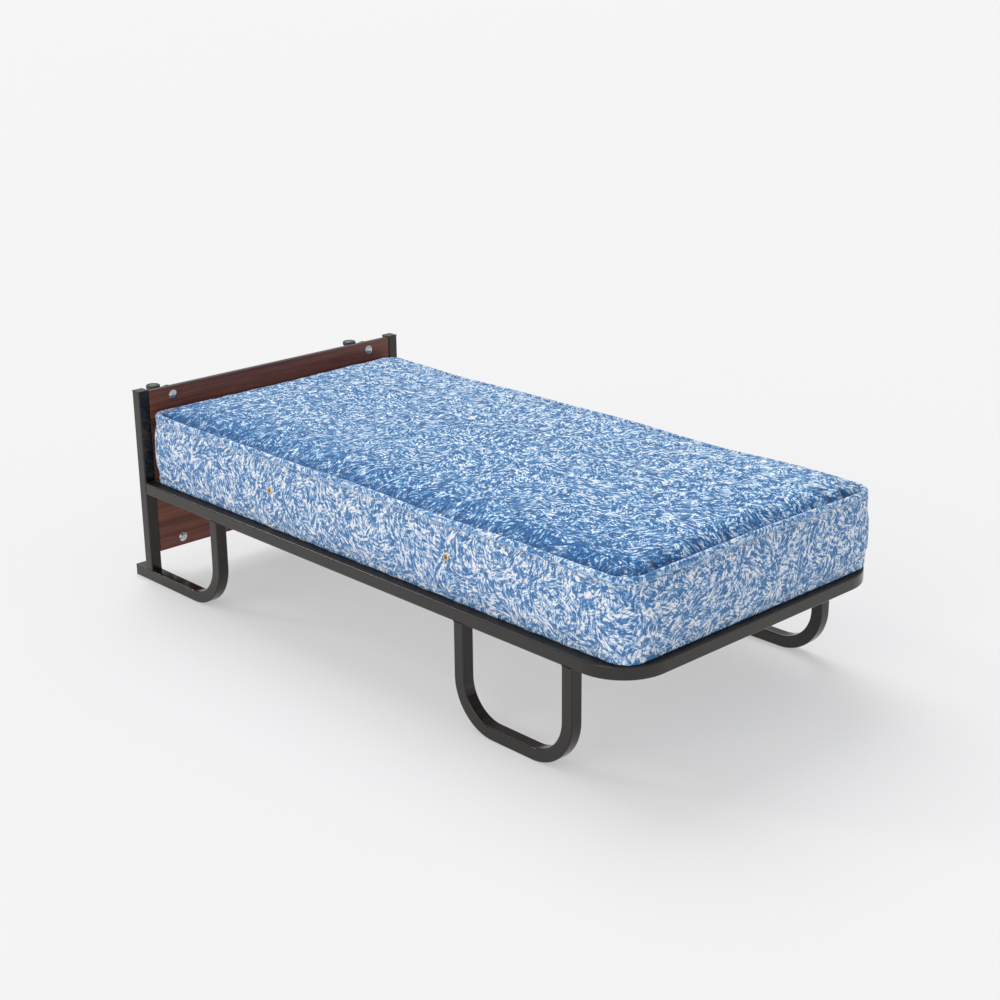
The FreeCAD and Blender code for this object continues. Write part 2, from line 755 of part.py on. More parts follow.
def make_castor_wheels(name, x, height):
    """Twin wheels, one each side of the web, pressed on one axle, with a cap on each hub."""
    outer = "(dims.wheel_inner + dims.wheel_width)"
    hub_face = f"({outer} - dims.hub_recess)"
    bore = "(dims.axle_radius + dims.thread_gap)"
    shoulder = "(dims.wheel_radius - dims.tread_bevel / 3)"
    shoulder_drop = "(dims.tread_bevel / 3)"
    wheels = []
    caps = []
    for side in SIDES.values():
        wheels.append(on_axle("wheel", [
            (bore, "dims.wheel_inner"),
            ("dims.wheel_radius - dims.tread_bevel", "dims.wheel_inner"),
            (shoulder, f"dims.wheel_inner + {shoulder_drop}"),
            ("dims.wheel_radius", "dims.wheel_inner + dims.tread_bevel"),
            ("dims.wheel_radius", f"{outer} - dims.tread_bevel"),
            (shoulder, f"{outer} - {shoulder_drop}"),
            ("dims.wheel_radius - dims.tread_bevel", outer),
            ("dims.hub_radius + 2 * dims.rim_gap", outer),
            ("dims.hub_radius + dims.rim_gap", hub_face),
            (bore, hub_face),
        ], x, height, side))
        caps.append(on_axle("hub_cap", [
            ("0", f"{hub_face} + dims.running_gap"),
            ("dims.hub_radius", f"{hub_face} + dims.running_gap"),
            ("dims.hub_radius", f"{outer} - dims.hub_dome"),
            ("dims.hub_radius - dims.hub_bevel", f"{outer} + dims.hub_dome / 2"),
            ("0", f"{outer} + dims.hub_dome"),
        ], x, height, side))
    axle = on_axle("axle", [
        ("0", f"-{hub_face}"),
        ("dims.axle_radius", f"-{hub_face}"),
        ("dims.axle_radius", hub_face),
        ("0", hub_face),
    ], x, height, 1)
    group(f"{name}_wheels", wheels)
    group(f"{name}_hub_caps", caps)
    keep(axle, f"{name}_axle")


def make_castors():
    make_castor_fasteners()
    for where, x, height in castor_places():
        make_castor_race(f"castor_{where}_race", x, height)
        make_castor_yoke(f"castor_{where}_yoke", x, height)
        make_castor_wheels(f"castor_{where}", x, height)


def export():
    """Checks every object, then writes each sub-part to its own file."""
    doc.recompute()
    for thing in doc.Objects:
        if {"Invalid", "Error"} & set(thing.State):
            raise RuntimeError(f"{thing.Label} failed: {thing.State}")
    os.makedirs("parts", exist_ok=True)
    for part in sub_parts:
        if part.Shape.isNull() or not part.Shape.isValid():
            raise RuntimeError(f"{part.Label} has no valid shape")
        part.Shape.exportStep(os.path.join("parts", f"{part.Label}.step"))
    print(f"{len(sub_parts)} sub-parts written")


make_main_rail()
make_posts()
make_head_skids()
make_foot_legs()
make_panel_bars()
make_head_cross_rail()
make_tube_caps()
make_headboard_panel()
for slat in range(SLATS):
    make_slat(slat)
make_slat_holders()
make_mattress()
make_vents()
make_castors()
export()
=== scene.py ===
import math

import bpy
import numpy as np
from mathutils import Matrix, Vector
from mathutils.bvhtree import BVHTree
from mathutils.kdtree import KDTree


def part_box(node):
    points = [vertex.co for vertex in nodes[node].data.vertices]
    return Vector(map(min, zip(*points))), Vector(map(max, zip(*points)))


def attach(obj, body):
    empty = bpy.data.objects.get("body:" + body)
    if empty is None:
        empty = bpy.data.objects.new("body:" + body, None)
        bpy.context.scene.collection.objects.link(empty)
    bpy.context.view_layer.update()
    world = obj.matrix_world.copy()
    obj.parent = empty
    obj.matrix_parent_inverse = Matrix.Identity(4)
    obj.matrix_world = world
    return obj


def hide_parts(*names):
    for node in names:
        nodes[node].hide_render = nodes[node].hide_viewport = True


# Looks of an upright-storing rollaway bed: a sprung mattress in a printed cover, on a black
# tube frame with a laminated headboard. Everything is in metres, in the bed's row frame.

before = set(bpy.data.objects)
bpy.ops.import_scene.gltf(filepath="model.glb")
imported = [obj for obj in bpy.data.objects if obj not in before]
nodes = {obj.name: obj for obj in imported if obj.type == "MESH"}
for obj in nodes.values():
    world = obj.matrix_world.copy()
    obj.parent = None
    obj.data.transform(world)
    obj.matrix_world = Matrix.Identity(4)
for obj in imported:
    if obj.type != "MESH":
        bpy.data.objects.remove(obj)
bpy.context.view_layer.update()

# ---------------------------------------------------------------- places from the CAD model

COVER_LOW, COVER_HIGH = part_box("mattress_cover")
HALF_X = (COVER_HIGH.x - COVER_LOW.x) / 2
HALF_Y = (COVER_HIGH.y - COVER_LOW.y) / 2
MIDDLE_Y = (COVER_HIGH.y + COVER_LOW.y) / 2
FOOT_CORNER = 0.062
HEAD_CORNER = 0.042

# the mattress's own sizes
SEAM_INSET = 0.019
SEAM_Z = COVER_HIGH.z - 0.0185
TAPE_HALF_WIDTH = 0.0085
TAPE_HALF_HEIGHT = 0.0105
TAPE_INSET = 0.0080
TAPE_Z = COVER_HIGH.z - 0.0200
HEM_HEIGHT = 0.0190
HEM_ROUND = 0.009
HEM_TUCK = 0.003
BULGE = 0.007
SHOULDER = 0.021
SHOULDER_WIDTH = 0.010
CROWN = 0.008
CELL = 0.012

FRAME_BODY = "frame"


# ---------------------------------------------------------------- material graphs

class Graph:
    """A material's node tree, written as short calls that return sockets."""

    def __init__(self, name):
        self.material = bpy.data.materials.new(name)
        self.material.use_nodes = True
        self.tree = self.material.node_tree
        self.tree.nodes.clear()
        self.shader = self.add("ShaderNodeBsdfPrincipled")
        output = self.add("ShaderNodeOutputMaterial")
        self.tree.links.new(self.shader.outputs["BSDF"], output.inputs["Surface"])

    def add(self, kind, **settings):
        node = self.tree.nodes.new(kind)
        for name, value in settings.items():
            setattr(node, name, value)
        return node

    def feed(self, socket, value):
        if isinstance(value, bpy.types.NodeSocket):
            self.tree.links.new(value, socket)
        else:
            socket.default_value = value

    def math(self, operation, *values, clamp=False):
        node = self.add("ShaderNodeMath", operation=operation, use_clamp=clamp)
        for socket, value in zip(node.inputs, values):
            self.feed(socket, value)
        return node.outputs[0]

    def vector(self, operation, *values, result=0):
        node = self.add("ShaderNodeVectorMath", operation=operation)
        for socket, value in zip(node.inputs, values):
            self.feed(socket, value)
        return node.outputs[result]

    def scaled(self, vector, scale):
        return self.vector("MULTIPLY", vector, scale)

    def split(self, vector):
        node = self.add("ShaderNodeSeparateXYZ")
        self.feed(node.inputs[0], vector)
        return node.outputs

    def place(self):
        """The point in the row frame, in metres."""
        return self.add("ShaderNodeTexCoord").outputs["Object"]

    def uv(self, name):
        return self.add("ShaderNodeUVMap", uv_map=name).outputs["UV"]

    def noise(self, vector, scale, detail=2.0, distortion=0.0, output="Fac", dimensions="3D"):
        node = self.add("ShaderNodeTexNoise", noise_dimensions=dimensions)
        self.feed(node.inputs["Vector"], vector)
        self.feed(node.inputs["Scale"], scale)
        self.feed(node.inputs["Detail"], detail)
        self.feed(node.inputs["Distortion"], distortion)
        return node.outputs[output]

    def ramp(self, value, low, high, start=0.0, end=1.0):
        """value from low..high, smoothly mapped to start..end."""
        node = self.add("ShaderNodeMapRange", interpolation_type="SMOOTHSTEP")
        for socket, number in zip(node.inputs, (value, low, high, start, end)):
            self.feed(socket, number)
        return node.outputs[0]

    def mix(self, amount, first, second, blend="MIX"):
        node = self.add("ShaderNodeMix", data_type="RGBA", blend_type=blend)
        self.feed(node.inputs["Factor"], amount)
        for name, colour in (("A", first), ("B", second)):
            socket = next(s for s in node.inputs if s.name == name and s.type == "RGBA")
            self.feed(socket, colour if not isinstance(colour, tuple) else (*colour, 1.0))
        return next(s for s in node.outputs if s.type == "RGBA")

    def bump(self, height, distance, strength=1.0):
        node = self.add("ShaderNodeBump")
        self.feed(node.inputs["Height"], height)
        node.inputs["Distance"].default_value = distance
        node.inputs["Strength"].default_value = strength
        self.tree.links.new(node.outputs[0], self.shader.inputs["Normal"])

    def finish(self, colour, roughness, **constants):
        self.feed(self.shader.inputs["Base Color"],
                  colour if not isinstance(colour, tuple) else (*colour, 1.0))
        self.feed(self.shader.inputs["Roughness"], roughness)
        for name, value in constants.items():
            self.shader.inputs[name.replace("_", " ")].default_value = value
        return self.material


def paint():
    """Black stove enamel on steel tube, with orange peel, and dull where the mattress rubs it."""
    g = Graph("black_enamel")
    cloudy = g.noise(g.place(), 9.0, detail=4.0)
    speck = g.noise(g.place(), 420.0, detail=2.0)
    colour = g.mix(g.ramp(cloudy, 0.35, 0.75), PAINT_DARK, PAINT_LIGHT)
    roughness = g.math("ADD", g.math("MULTIPLY", cloudy, 0.10), 0.12)
    facing_up = g.ramp(g.split(g.add("ShaderNodeTexCoord").outputs["Normal"])[2], 0.80, 0.95)
    from_deck = g.math("ABSOLUTE", g.math("SUBTRACT", g.split(g.place())[2], DECK_HEIGHT))
    scuffed = g.math("MULTIPLY", facing_up, g.ramp(from_deck, 0.010, 0.004))
    roughness = g.math("ADD", roughness, g.math("MULTIPLY", scuffed, 0.40))
    g.bump(g.math("ADD", g.noise(g.place(), 260.0), g.math("MULTIPLY", speck, 0.3)), 0.00012, 0.5)
    return g.finish(colour, roughness, IOR=1.55, Specular_Tint=(1.0, 0.93, 0.88, 1.0))


def laminate():
    """Mahogany-pattern laminate: dark streaks along the board, and a plain edging strip."""
    g = Graph("mahogany_laminate")
    place = g.place()
    wave = g.noise(g.scaled(place, (1.6, 1.0, 14.0)), 1.0, detail=3.0, output="Color")
    bent = g.vector("ADD", place, g.scaled(wave, (0.0, 0.0, 0.010)))
    broad = g.noise(g.scaled(bent, (1.4, 3.0, 55.0)), 1.0, detail=5.0)
    fine = g.noise(g.scaled(bent, (7.0, 30.0, 420.0)), 1.0, detail=3.0)
    pores = g.noise(g.scaled(bent, (26.0, 90.0, 1300.0)), 1.0, detail=1.0)
    colour = g.mix(g.ramp(broad, 0.34, 0.68), LAMINATE_DARK, LAMINATE_LIGHT)
    colour = g.mix(g.ramp(fine, 0.45, 0.72, 0.0, 0.55), colour, LAMINATE_STREAK)
    colour = g.mix(g.ramp(pores, 0.60, 0.72, 0.0, 0.45), colour, LAMINATE_PORE)
    normal = g.add("ShaderNodeTexCoord").outputs["Normal"]
    facing = g.math("ABSOLUTE", g.split(normal)[1])
    colour = g.mix(g.ramp(facing, 0.3, 0.9), LAMINATE_EDGE, colour)
    g.bump(fine, 0.00008, 0.35)
    return g.finish(colour, g.math("ADD", g.math("MULTIPLY", broad, 0.10), 0.30), IOR=1.42)


def metal(name, colour, roughness, brushed=0.0):
    """Plated or polished metal, with fine wear that blurs its gloss."""
    g = Graph(name)
    wear = g.noise(g.place(), 160.0, detail=4.0)
    darker = tuple(channel * 0.72 for channel in colour)
    mixed = g.mix(g.ramp(wear, 0.35, 0.75), darker, colour)
    gloss = g.math("ADD", g.math("MULTIPLY", wear, 0.14 + brushed), roughness)
    g.bump(g.noise(g.place(), 900.0), 0.00005, 0.3)
    return g.finish(mixed, gloss, Metallic=1.0)


def plastic(name, colour, roughness, grain=1400.0):
    """Moulded plastic or rubber with a fine spark-eroded texture."""
    g = Graph(name)
    dust = g.noise(g.place(), 60.0, detail=4.0)
    lighter = tuple(min(1.0, channel * 1.5 + 0.012) for channel in colour)
    mixed = g.mix(g.ramp(dust, 0.45, 0.8), colour, lighter)
    g.bump(g.noise(g.place(), grain), 0.00010, 0.4)
    return g.finish(mixed, g.math("ADD", g.math("MULTIPLY", dust, 0.2), roughness), IOR=1.5)


def slat_wood():
    """Peeled birch, with grain along the slat and thin glue lines on its edges."""
    g = Graph("birch_slat")
    place = g.place()
    grain = g.noise(g.scaled(place, (5.0, 260.0, 60.0)), 1.0, detail=4.0, distortion=0.3)
    flame = g.noise(g.scaled(place, (2.2, 30.0, 9.0)), 1.0, detail=2.0)
    plies = g.add("ShaderNodeTexWave", bands_direction="Z")
    g.feed(plies.inputs["Vector"], place)
    plies.inputs["Scale"].default_value = 125.0
    normal = g.add("ShaderNodeTexCoord").outputs["Normal"]
    on_edge = g.math("SUBTRACT", 1.0, g.math("ABSOLUTE", g.split(normal)[2]), clamp=True)
    lines = g.math("MULTIPLY", g.ramp(plies.outputs["Fac"], 0.75, 0.95), on_edge)
    colour = g.mix(g.ramp(grain, 0.35, 0.7), (0.62, 0.44, 0.26), (0.76, 0.60, 0.41))
    colour = g.mix(g.ramp(flame, 0.4, 0.7, 0.0, 0.35), colour, (0.50, 0.32, 0.17))
    colour = g.mix(lines, colour, (0.20, 0.11, 0.06))
    g.bump(grain, 0.00015, 0.4)
    return g.finish(colour, 0.46, IOR=1.45)


def brushed_layer(g, coordinates, size, seed, length, width, spread):
    """Brush marks: noise drawn out along a direction that changes from one dab to the next."""
    shifted = g.vector("ADD", g.scaled(coordinates, (1 / size,) * 3), (seed * 3.7, seed * 1.9, 0.0))
    cells = g.add("ShaderNodeTexVoronoi", voronoi_dimensions="2D", feature="F1")
    g.feed(cells.inputs["Vector"], shifted)
    cells.inputs["Scale"].default_value = 1.0
    middle = cells.outputs["Position"]
    dice = g.split(cells.outputs["Color"])
    drift = g.noise(middle, size / STROKE_SWIRL, detail=1.0, dimensions="2D")
    angle = g.math("MULTIPLY", drift, 3.2 * math.pi)
    angle = g.math("ADD", angle, g.math("MULTIPLY", dice[0], spread))
    turned = g.add("ShaderNodeVectorRotate", rotation_type="Z_AXIS")
    g.feed(turned.inputs["Vector"], g.vector("SUBTRACT", shifted, middle))
    g.feed(turned.inputs["Angle"], angle)
    local = g.split(turned.outputs[0])
    bow = g.math("MULTIPLY", g.math("MULTIPLY", local[0], local[0]), 0.12)
    marks = g.add("ShaderNodeCombineXYZ")
    along = g.math("MULTIPLY", local[0], size / length)
    aside = g.math("MULTIPLY", g.math("ADD", local[1], bow), size / width)
    g.feed(marks.inputs[0], g.math("ADD", along, g.math("MULTIPLY", dice[1], 37.0)))
    g.feed(marks.inputs[1], g.math("ADD", aside, g.math("MULTIPLY", dice[2], 53.0)))
    return g.noise(marks.outputs[0], 1.0, detail=1.5, dimensions="2D")


def printed_fabric(name, palette, seam_creases=True):
    """Woven ticking printed in five tones with a flurry of brush marks; with seam_creases, also painted
    shade by the upper seam and on the near side, and painted light on the far side.
    """
    g = Graph(name)
    uv = g.uv("fabric")
    wobble = g.noise(uv, 70.0, detail=2.0, output="Color", dimensions="2D")
    shifted = g.vector("ADD", uv, g.scaled(g.vector("SUBTRACT", wobble, (0.5, 0.5, 0.5)), (0.008,) * 3))
    tone = g.ramp(g.noise(uv, 26.0, detail=2.0, dimensions="2D"), 0.36, 0.64, 0.0, PATCH_SHARE)
    for number, (size, length, width, spread, softness, share) in enumerate(BRUSH_LAYERS):
        marks = brushed_layer(g, shifted, size, number + 1, length, width, spread)
        inked = g.ramp(marks, 0.5 - softness, 0.5 + softness, 0.0, share)
        tone = g.math("ADD", tone, inked)
    if seam_creases:
        # Painted shade: the near long side is pushed towards the darker tones; painted light: the far side
        # is pushed towards the lighter ones.
        across = g.split(g.place())[0]
        tone = g.math("ADD", tone, g.ramp(across, -0.46, -0.22, *NEAR_SIDE_PAINTED_SHADE))
        tone = g.math("ADD", tone, g.ramp(across, 0.05, 0.45, *FAR_SIDE_PAINTED_LIGHT))
    tones = g.add("ShaderNodeValToRGB")
    stops = tones.color_ramp.elements
    stops.remove(stops[1])
    stops[0].position = TONE_LEVELS[0]
    for level in TONE_LEVELS[1:]:
        stops.new(level)
    for stop, tint in zip(stops, palette["tones"]):
        stop.color = (*tint, 1.0)
    g.feed(tones.inputs[0], tone)
    colour = tones.outputs[0]
    warp = g.add("ShaderNodeTexWave", bands_direction="X")
    weft = g.add("ShaderNodeTexWave", bands_direction="Y")
    for threads in (warp, weft):
        g.feed(threads.inputs["Vector"], uv)
        threads.inputs["Scale"].default_value = WEAVE_SCALE
    weave = g.math("MULTIPLY", warp.outputs["Fac"], weft.outputs["Fac"])
    relief = g.math("MULTIPLY", weave, WEAVE_DEPTH)
    if seam_creases:
        seam = g.uv("seam")
        parts = g.split(seam)
        fade = g.ramp(parts[1], 0.004, CREASE_REACH, 1.0, 0.0)
        fine = g.noise(g.scaled(seam, (38.0, 5.0, 1.0)), 1.0, detail=2.0, dimensions="2D")
        folds = g.math("MULTIPLY", g.ramp(fine, 0.30, 0.68), fade)
        relief = g.math("ADD", relief, g.math("MULTIPLY", folds, CREASE_DEPTH))
        # Painted shade in the small folds by the upper seam, and a painted shadow band just inside it.
        shade = g.math("MULTIPLY", g.ramp(fine, 0.52, 0.34), g.math("MULTIPLY", fade, 0.6))
        shadow = g.ramp(parts[1], 0.004, 0.040, 0.32, 0.0)
        colour = g.mix(shadow, colour, palette["crease_shade"])
        colour = g.mix(shade, colour, palette["crease_shade"])
        # Painted shade in the seam's gap: a thin dark line along it, widening into dark puckers near the
        # foot end.
        foot = g.ramp(g.split(g.place())[1], COVER_LOW.y + 0.10, COVER_LOW.y + 0.04, 0.0, 1.0)
        reach = g.math("MULTIPLY", g.ramp(fine, 0.43, 0.30, 0.0, 0.015), foot)
        pits = g.math("SUBTRACT", parts[1], reach)
        gap_shade = g.ramp(pits, 0.0, 0.008, 0.80, 0.0)
        colour = g.mix(gap_shade, colour, palette["gap_shade"])
    puff = g.noise(uv, 22.0, detail=2.0, dimensions="2D")
    relief = g.math("ADD", relief, g.math("MULTIPLY", puff, PUFF_DEPTH))
    g.bump(relief, 1.0, 0.8)
    return g.finish(colour, 0.62, Sheen_Weight=0.14, Sheen_Roughness=0.4, IOR=1.35)


def thread(name, colour):
    """Twisted sewing thread."""
    g = Graph(name)
    twist = g.add("ShaderNodeTexWave", bands_direction="DIAGONAL")
    g.feed(twist.inputs["Vector"], g.place())
    twist.inputs["Scale"].default_value = 900.0
    darker = tuple(channel * 0.6 for channel in colour)
    mixed = g.mix(twist.outputs["Fac"], darker, colour)
    g.bump(twist.outputs["Fac"], 0.0002, 0.6)
    return g.finish(mixed, 0.7, Sheen_Weight=0.3)


def gauze():
    """The dark wire mesh inside a vent."""
    g = Graph("vent_gauze")
    place = g.place()
    first = g.add("ShaderNodeTexWave", bands_direction="Y")
    second = g.add("ShaderNodeTexWave", bands_direction="Z")
    for wires in (first, second):
        g.feed(wires.inputs["Vector"], place)
        wires.inputs["Scale"].default_value = 330.0
    wire = g.math("MAXIMUM", first.outputs["Fac"], second.outputs["Fac"])
    colour = g.mix(g.ramp(wire, 0.6, 0.9), (0.012, 0.010, 0.008), (0.30, 0.23, 0.12))
    g.bump(wire, 0.0003, 0.7)
    return g.finish(colour, 0.4, Metallic=0.6)


DECK_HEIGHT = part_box("main_rail")[1].z
PAINT_DARK = (0.0050, 0.0045, 0.0040)
PAINT_LIGHT = (0.0085, 0.0075, 0.0065)
LAMINATE_DARK = (0.138, 0.040, 0.024)
LAMINATE_LIGHT = (0.255, 0.088, 0.054)
LAMINATE_STREAK = (0.070, 0.024, 0.016)
LAMINATE_PORE = (0.035, 0.013, 0.009)
LAMINATE_EDGE = (0.016, 0.015, 0.014)

STROKE_SWIRL = 0.20
# size of a dab's cell, length and width of a mark in metres, spread of angles, softness, share of tone
BRUSH_LAYERS = (
    (0.056, 0.0300, 0.0080, 2.0, 0.068, 0.34),
    (0.042, 0.0230, 0.0054, 2.2, 0.065, 0.30),
    (0.030, 0.0165, 0.0036, 2.4, 0.065, 0.20),
)
PATCH_SHARE = 0.16
TONE_LEVELS = (0.31, 0.44, 0.56, 0.67, 0.78)
# Tone shifts across the mattress: painted shade on the near side, painted light on the far side.
NEAR_SIDE_PAINTED_SHADE = (-0.120, 0.0)
FAR_SIDE_PAINTED_LIGHT = (0.0, 0.060)
WEAVE_SCALE = 440.0
WEAVE_DEPTH = 0.00018
PUFF_DEPTH = 0.0014
CREASE_REACH = 0.075
CREASE_DEPTH = 0.0045
TOP_PALETTE = {
    "tones": ((0.003, 0.090, 0.295), (0.020, 0.200, 0.490), (0.100, 0.350, 0.670),
              (0.330, 0.575, 0.840), (0.920, 0.960, 0.985)),
    # The last two colours are painted shade: for the folds and band by the upper seam, and for the gap
    # along it.
    "crease_shade": (0.022, 0.085, 0.230),
    "gap_shade": (0.008, 0.035, 0.110),
}
# The border's and tape's tones are paler and lighter than the top's for the same print: partly painted
# light, standing in for the light on the mattress's sides.
SIDE_LIT_BORDER_PALETTE = {
    "tones": ((0.052, 0.185, 0.425), (0.175, 0.350, 0.620), (0.350, 0.515, 0.770),
              (0.600, 0.710, 0.885), (0.960, 0.950, 0.955)),
}
SIDE_LIT_TAPE_PALETTE = {
    "tones": ((0.040, 0.175, 0.415), (0.130, 0.320, 0.610), (0.270, 0.465, 0.750),
              (0.490, 0.660, 0.885), (0.880, 0.925, 0.965)),
}


# ---------------------------------------------------------------- mesh helpers

def new_object(name, vertices, faces, materials, smooth=True, body=FRAME_BODY):
    mesh = bpy.data.meshes.new(name)
    mesh.from_pydata([tuple(v) for v in vertices], [], [tuple(int(i) for i in f) for f in faces])
    mesh.validate()
    for material in materials:
        mesh.materials.append(material)
    if smooth:
        mesh.shade_smooth()
    thing = bpy.data.objects.new(name, mesh)
    bpy.context.scene.collection.objects.link(thing)
    if body:
        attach(thing, body)
    return thing


def set_uv(mesh, name, per_vertex):
    """A UV layer from one pair of numbers for each vertex."""
    layer = mesh.uv_layers.get(name) or mesh.uv_layers.new(name=name)
    corner_vertex = np.zeros(len(mesh.loops), np.int32)
    mesh.loops.foreach_get("vertex_index", corner_vertex)
    layer.data.foreach_set("uv", np.asarray(per_vertex, np.float32)[corner_vertex].ravel())


def vertex_places(mesh):
    places = np.zeros(len(mesh.vertices) * 3, np.float64)
    mesh.vertices.foreach_get("co", places)
    return places.reshape(-1, 3)


def rounded(x, y, inset):
    """Carries points of the mattress's rectangle to the same one with rounded corners."""
    half_x = HALF_X - inset
    half_y = HALF_Y - inset
    radius = np.where(np.asarray(y) < 0, FOOT_CORNER, HEAD_CORNER) - inset
    x = np.asarray(x, float) * half_x
    y = np.asarray(y, float) * half_y
    past_x = np.maximum(np.abs(x) - (half_x - radius), 0.0)
    past_y = np.maximum(np.abs(y) - (half_y - radius), 0.0)
    length = np.hypot(past_x, past_y)
    scale = np.maximum(past_x, past_y) / np.maximum(length, 1e-9)
    scale = np.where(length > 0, scale, 1.0)
    new_x = np.sign(x) * (np.minimum(np.abs(x), half_x - radius) + past_x * scale)
    new_y = np.sign(y) * (np.minimum(np.abs(y), half_y - radius) + past_y * scale)
    return new_x, new_y + MIDDLE_Y


def edge_loop(count_x, count_y):
    """The places round a grid's edge, in order, as column and row numbers."""
    loop = [(i, 0) for i in range(count_x)]
    loop += [(count_x, j) for j in range(count_y)]
    loop += [(i, count_y) for i in range(count_x, 0, -1)]
    loop += [(0, j) for j in range(count_y, 0, -1)]
    return loop


def settle(points):
    """The gentle unevenness of a used mattress, the same for all that is sewn together."""
    points = np.array(points, float)
    x, y, z = points[:, 0], points[:, 1], points[:, 2]
    height = np.clip((z - COVER_LOW.z) / (COVER_HIGH.z - COVER_LOW.z), 0.0, 1.0)
    lift = 0.0022 * np.sin(7.1 * y + 1.3) + 0.0018 * np.sin(11.7 * y - 5.0 * x)
    lift += 0.0022 * np.cos(6.3 * x + 0.4) * np.clip(-y, 0.0, 1.0)
    sway = 0.0014 * np.sin(8.3 * y + 2.0) * height
    points[:, 2] += lift * height ** 2
    points[:, 0] += np.sign(x) * sway * np.clip(np.abs(x) / HALF_X, 0.0, 1.0) ** 6
    points[:, 1] += 0.0014 * np.sin(9.0 * x) * height * np.clip(np.abs(y) / HALF_Y, 0.0, 1.0) ** 12
    return points


# ---------------------------------------------------------------- the mattress's cover

def side_profile():
    """Inset and height of the border's rows, from the underside's rim to the upper seam."""
    low = COVER_LOW.z
    rows = []
    for step in range(1, 5):
        angle = math.pi / 2 * step / 4
        rows.append((HEM_TUCK + HEM_ROUND * (1 - math.sin(angle)), low + HEM_ROUND * (1 - math.cos(angle))))
    top = SEAM_Z - 0.010
    count = int(round((top - rows[-1][1]) / CELL))
    start = rows[-1][1]
    for i in range(count):
        share = (i + 1) / count
        swell = BULGE * math.sin(math.pi * share ** 0.75)
        rows.append((HEM_TUCK * (1 - share) - swell, start + (top - start) * share))
    rows.append((0.0035, SEAM_Z - 0.004))
    rows.append((0.0110, SEAM_Z - 0.001))
    return rows


def crowned(x, y):
    """The upper panel's height: a soft shoulder at the seam, then a slow rise to the middle."""
    across = (HALF_X - SEAM_INSET) - np.abs(x)
    along = (HALF_Y - SEAM_INSET) - np.abs(y - MIDDLE_Y)
    near = np.maximum(np.minimum(across, along), 0.0)
    shoulder = SHOULDER * (1 - np.exp(-near / SHOULDER_WIDTH))
    wide = np.clip(across / HALF_X, 0.0, 1.0)
    long = np.clip(along / HALF_X, 0.0, 1.0)
    crown = CROWN * np.sin(wide * math.pi / 2) * np.sin(long * math.pi / 2)
    return SEAM_Z + shoulder + crown


def build_cover(materials):
    """A grid bent round the mattress, with the rows that stay still marked."""
    count_x = int(round(2 * HALF_X / CELL))
    count_y = int(round(2 * HALF_Y / CELL))
    columns, rows = np.meshgrid(np.linspace(-1, 1, count_x + 1), np.linspace(-1, 1, count_y + 1))
    size = (count_x + 1) * (count_y + 1)

    def index(i, j):
        return j * (count_x + 1) + i

    profile = side_profile()
    bottom_x, bottom_y = rounded(columns.ravel(), rows.ravel(), HEM_TUCK + HEM_ROUND)
    top_x, top_y = rounded(columns.ravel(), rows.ravel(), SEAM_INSET)
    bottom = np.column_stack([bottom_x, bottom_y, np.full(size, COVER_LOW.z)])
    top = np.column_stack([top_x, top_y, crowned(top_x, top_y)])
    loop = edge_loop(count_x, count_y)
    rim = np.array([index(i, j) for i, j in loop])
    u = columns.ravel()[rim]
    v = rows.ravel()[rim]
    sides = []
    for inset, height in profile:
        ring_x, ring_y = rounded(u, v, inset)
        sides.append(np.column_stack([ring_x, ring_y, np.full(len(rim), height)]))
    vertices = np.vstack([bottom, top, *sides])
    rings = [rim]
    rings += [2 * size + k * len(rim) + np.arange(len(rim)) for k in range(len(profile))]
    rings.append(rim + size)
    faces = []
    panel = []
    for j in range(count_y):
        for i in range(count_x):
            corners = (index(i, j), index(i + 1, j), index(i + 1, j + 1), index(i, j + 1))
            faces.append(corners[::-1])
            panel.append(0)
            faces.append(tuple(c + size for c in corners))
            panel.append(0)
    for lower, upper in zip(rings[:-1], rings[1:]):
        for k in range(len(rim)):
            after = (k + 1) % len(rim)
            faces.append((lower[k], lower[after], upper[after], upper[k]))
            panel.append(1)
    thing = new_object("mattress_cover_sewn", settle(vertices), faces, materials)
    thing.data.polygons.foreach_set("material_index", panel)
    bottom_rows = [0, *[k + 1 for k, (_, z) in enumerate(profile) if z < COVER_LOW.z + HEM_HEIGHT]]
    top_rows = [k + 1 for k, (_, z) in enumerate(profile) if z > SEAM_Z - 0.016]
    still = set(range(size))
    for k in bottom_rows + top_rows + [len(rings) - 1]:
        still.update(int(i) for i in rings[k])
    return thing, sorted(still)


